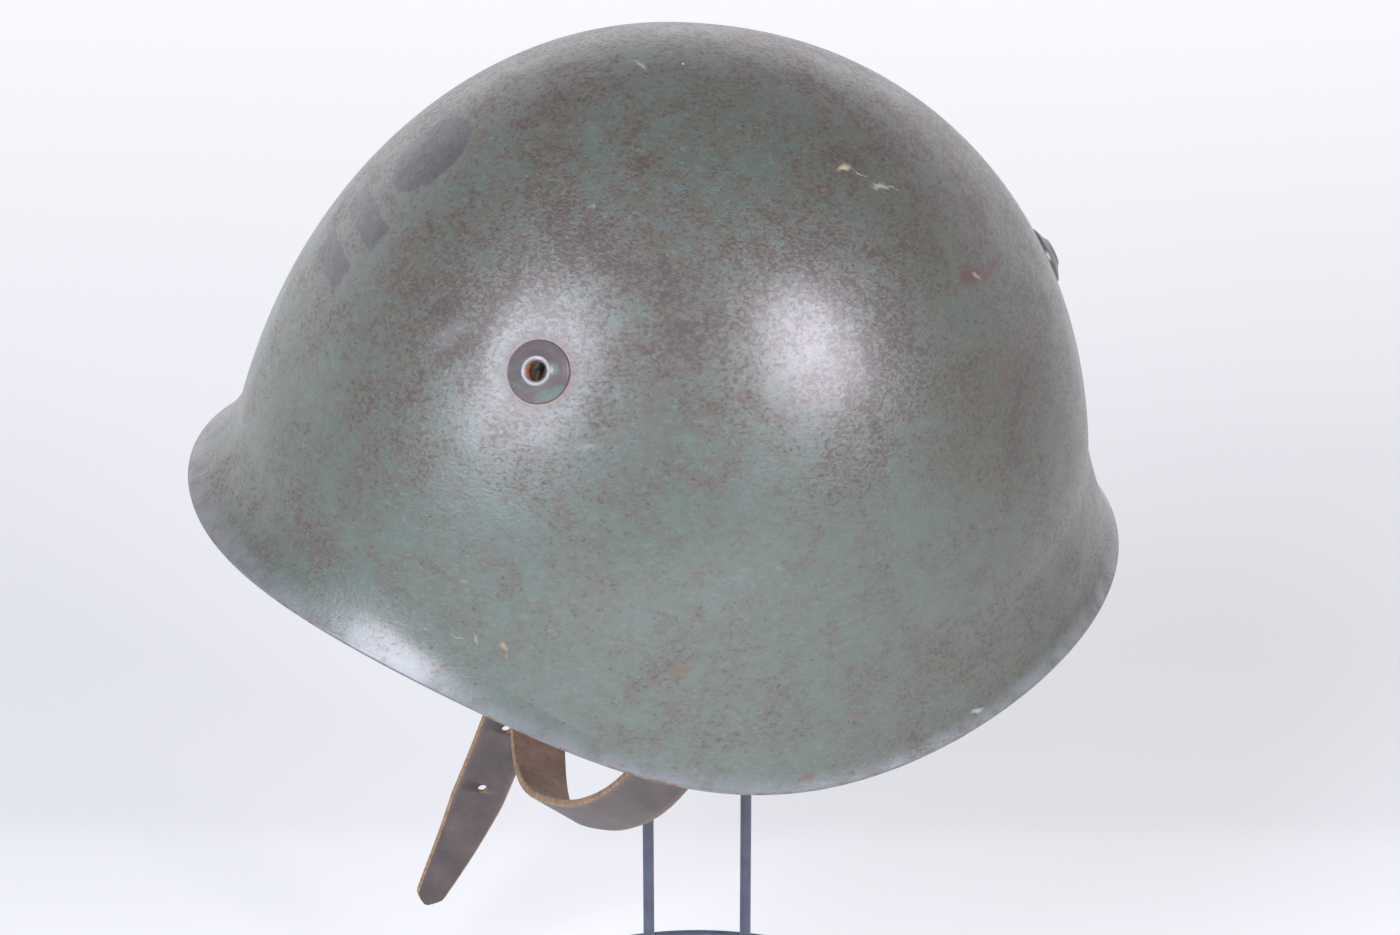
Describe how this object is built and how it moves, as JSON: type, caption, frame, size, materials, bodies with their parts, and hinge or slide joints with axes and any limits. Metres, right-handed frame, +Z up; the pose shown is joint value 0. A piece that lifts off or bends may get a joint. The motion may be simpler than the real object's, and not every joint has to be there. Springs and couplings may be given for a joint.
{
  "type": "military steel helmet on a display stand",
  "caption": "Grey-green stamped steel helmet with flared rim, hollow vent rivets and a leather chin strap, carried by a plain wire display stand.",
  "frame": {"origin": "on the floor, under the middle of the bounding box", "axes": "+Z up, -Y the way the helmet faces, +X towards the wearer's left side"},
  "size_m": [0.235, 0.2832, 0.3742],
  "materials": {
    "shell_paint": "satin grey-green paint, finely mottled and worn",
    "vent_paint": "worn paint over brown primer with rust at the edge",
    "bare_steel": "plain dull steel",
    "leather": "aged dark brown leather, matt",
    "stand_paint": "dark slate satin paint"
  },
  "bodies": {
    "root": {"steel_shell": "shell_paint", "vent_rivet_left": "vent_paint", "vent_rivet_right": "vent_paint", "vent_rivet_rear": "vent_paint", "strap_hanger_left": "bare_steel", "strap_hanger_right": "bare_steel", "strap_buckle": "bare_steel", "chin_strap": "leather", "buckle_strap": "leather", "display_stand": "stand_paint"}
  },
  "joints": []
}
